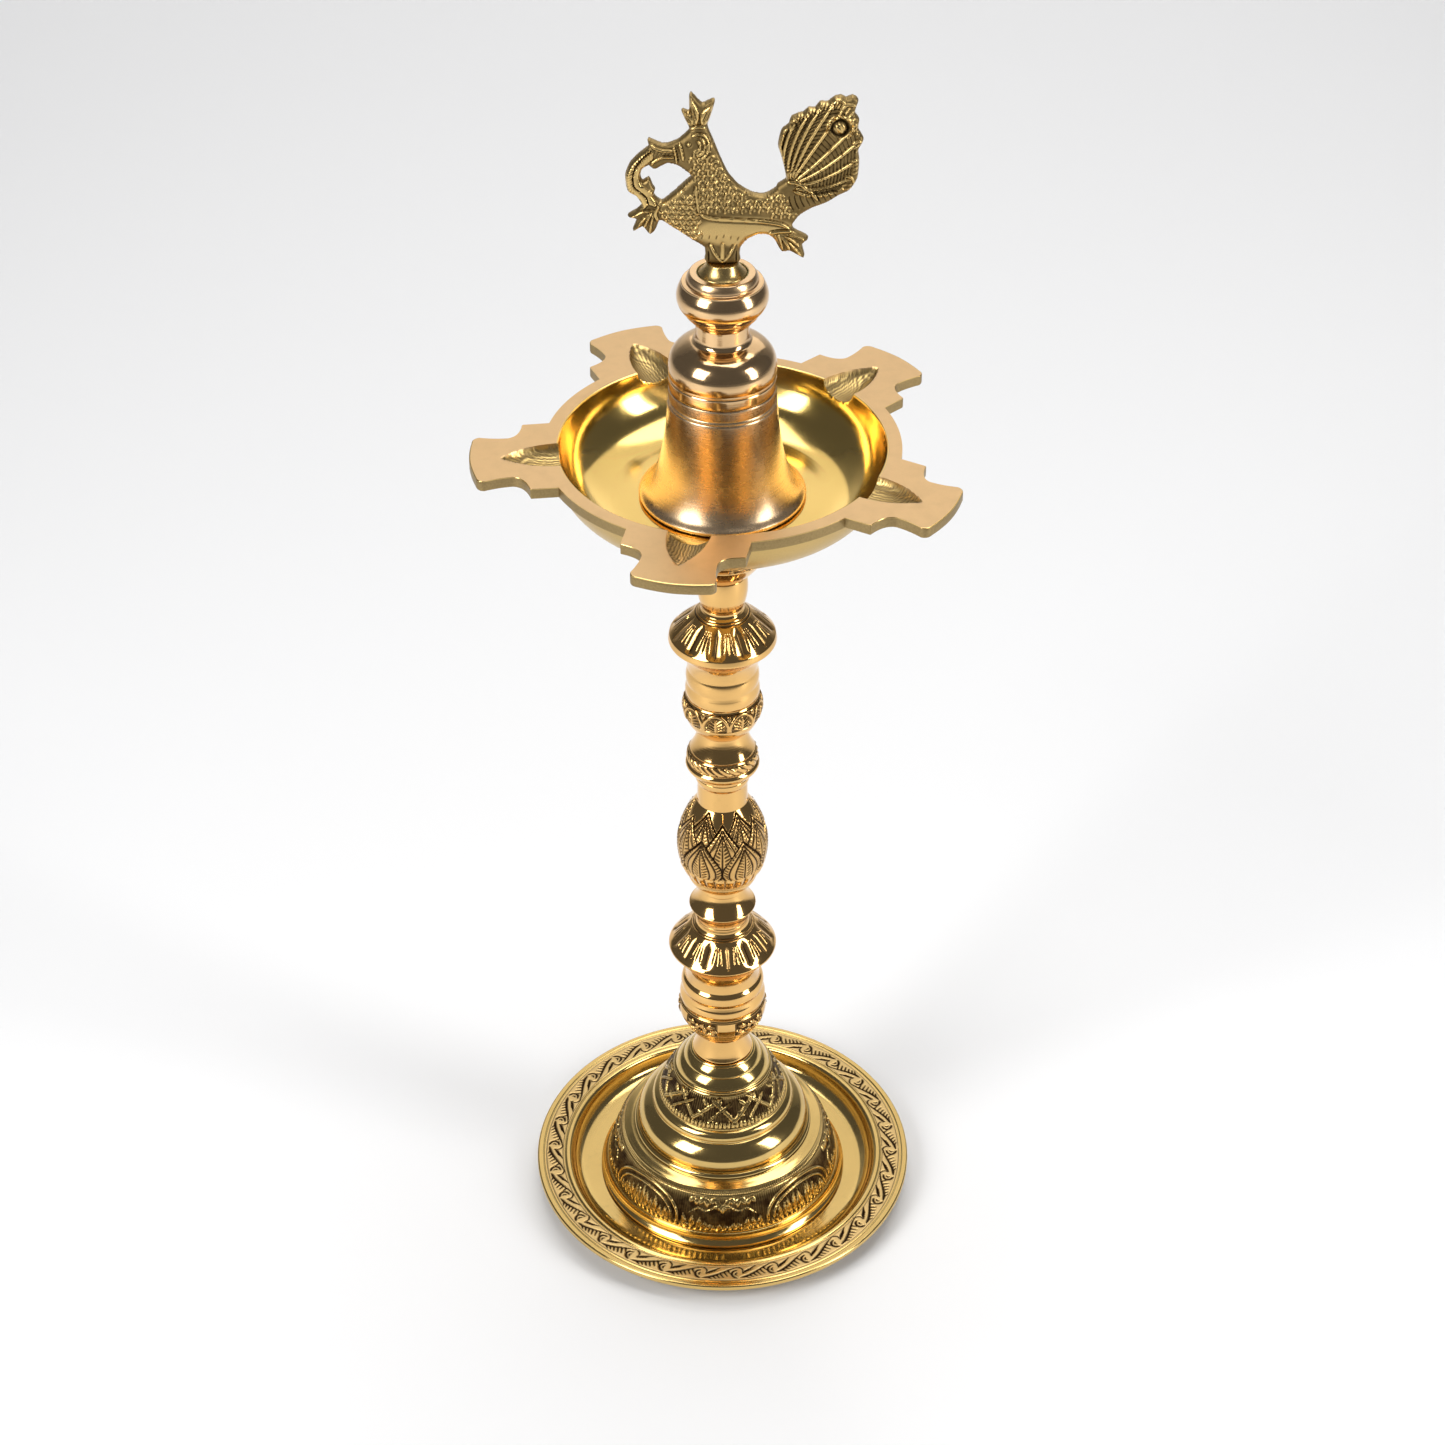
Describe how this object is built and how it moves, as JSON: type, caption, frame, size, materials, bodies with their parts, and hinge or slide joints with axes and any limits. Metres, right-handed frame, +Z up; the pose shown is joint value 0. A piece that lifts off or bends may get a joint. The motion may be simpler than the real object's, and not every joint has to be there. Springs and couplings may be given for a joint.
{
  "type": "standing oil lamp",
  "caption": "Brass samai: saucer base with engraved dome, stem of screwed-together turned castings, oil dish with wick spouts round a bell column, and a peacock finial.",
  "frame": {"origin": "centre of the saucer's flat underside, on the lamp's axis", "axes": "+Z up the lamp's axis; the peacock's plate lies in the XZ plane, tail towards +X, beak towards -X; +Y goes away from whoever sees the tail on their right"},
  "size_m": [0.1644, 0.1659, 0.4715],
  "materials": {
    "base_brass": "polished cast brass, brown patina in the engraving",
    "stem_brass": "bright polished cast brass, carved bands slightly darker in the cuts",
    "dish_brass": "satin cast brass, polished in the bowl, raw at the sawn edges",
    "column_brass": "polished turned brass of a redder alloy",
    "antique_brass": "antiqued cast brass, dark recesses and rubbed bright ridges",
    "thread_brass": "as-cut brass, dull"
  },
  "bodies": {
    "base": {"base_saucer": "base_brass", "base_dome": "base_brass", "base_boss": "base_brass", "base_lock_nut": "thread_brass"},
    "stem_thread": {"stem_mouth_bush": "thread_brass"},
    "stem": {"stem_lower_section": "stem_brass", "stem_bead": "stem_brass", "stem_vase": "stem_brass", "stem_upper_section": "stem_brass", "stem_collar_bead": "stem_brass", "stem_cup": "stem_brass", "stem_lower_nipple": "thread_brass", "stem_middle_nipple": "thread_brass", "stem_upper_nipple": "thread_brass", "stem_top_bush": "thread_brass"},
    "dish_thread": {"dish_stud": "thread_brass"},
    "dish": {"dish_pan": "dish_brass", "dish_bell": "dish_brass", "dish_column": "column_brass", "dish_socket_bush": "thread_brass"},
    "finial_thread": {"finial_screw": "antique_brass"},
    "finial": {"finial_peacock": "antique_brass"}
  },
  "joints": [
    {"name": "stem_lift", "type": "slide", "parent": "base", "child": "stem_thread", "axis": [0, 0, 1], "range_m": [0, 0.0135]},
    {"name": "stem_turn", "type": "hinge", "parent": "stem_thread", "child": "stem", "pos_m": [0, 0, 0.0673], "axis": [0, 0, 1], "range_deg": [0, 3241]},
    {"name": "dish_lift", "type": "slide", "parent": "stem", "child": "dish_thread", "axis": [0, 0, 1], "range_m": [0, 0.009]},
    {"name": "dish_turn", "type": "hinge", "parent": "dish_thread", "child": "dish", "pos_m": [0, 0, 0.3216], "axis": [0, 0, 1], "range_deg": [0, 2161]},
    {"name": "finial_lift", "type": "slide", "parent": "dish", "child": "finial_thread", "axis": [0, 0, 1], "range_m": [0, 0.0108]},
    {"name": "finial_turn", "type": "hinge", "parent": "finial_thread", "child": "finial", "pos_m": [0, 0, 0.4082], "axis": [0, 0, 1], "range_deg": [0, 3241]}
  ],
  "couplings": [
    {"joint": "stem_turn", "follows": "stem_lift", "rad_per_m": 4188.8},
    {"joint": "dish_turn", "follows": "dish_lift", "rad_per_m": 4188.8},
    {"joint": "finial_turn", "follows": "finial_lift", "rad_per_m": 5236}
  ]
}
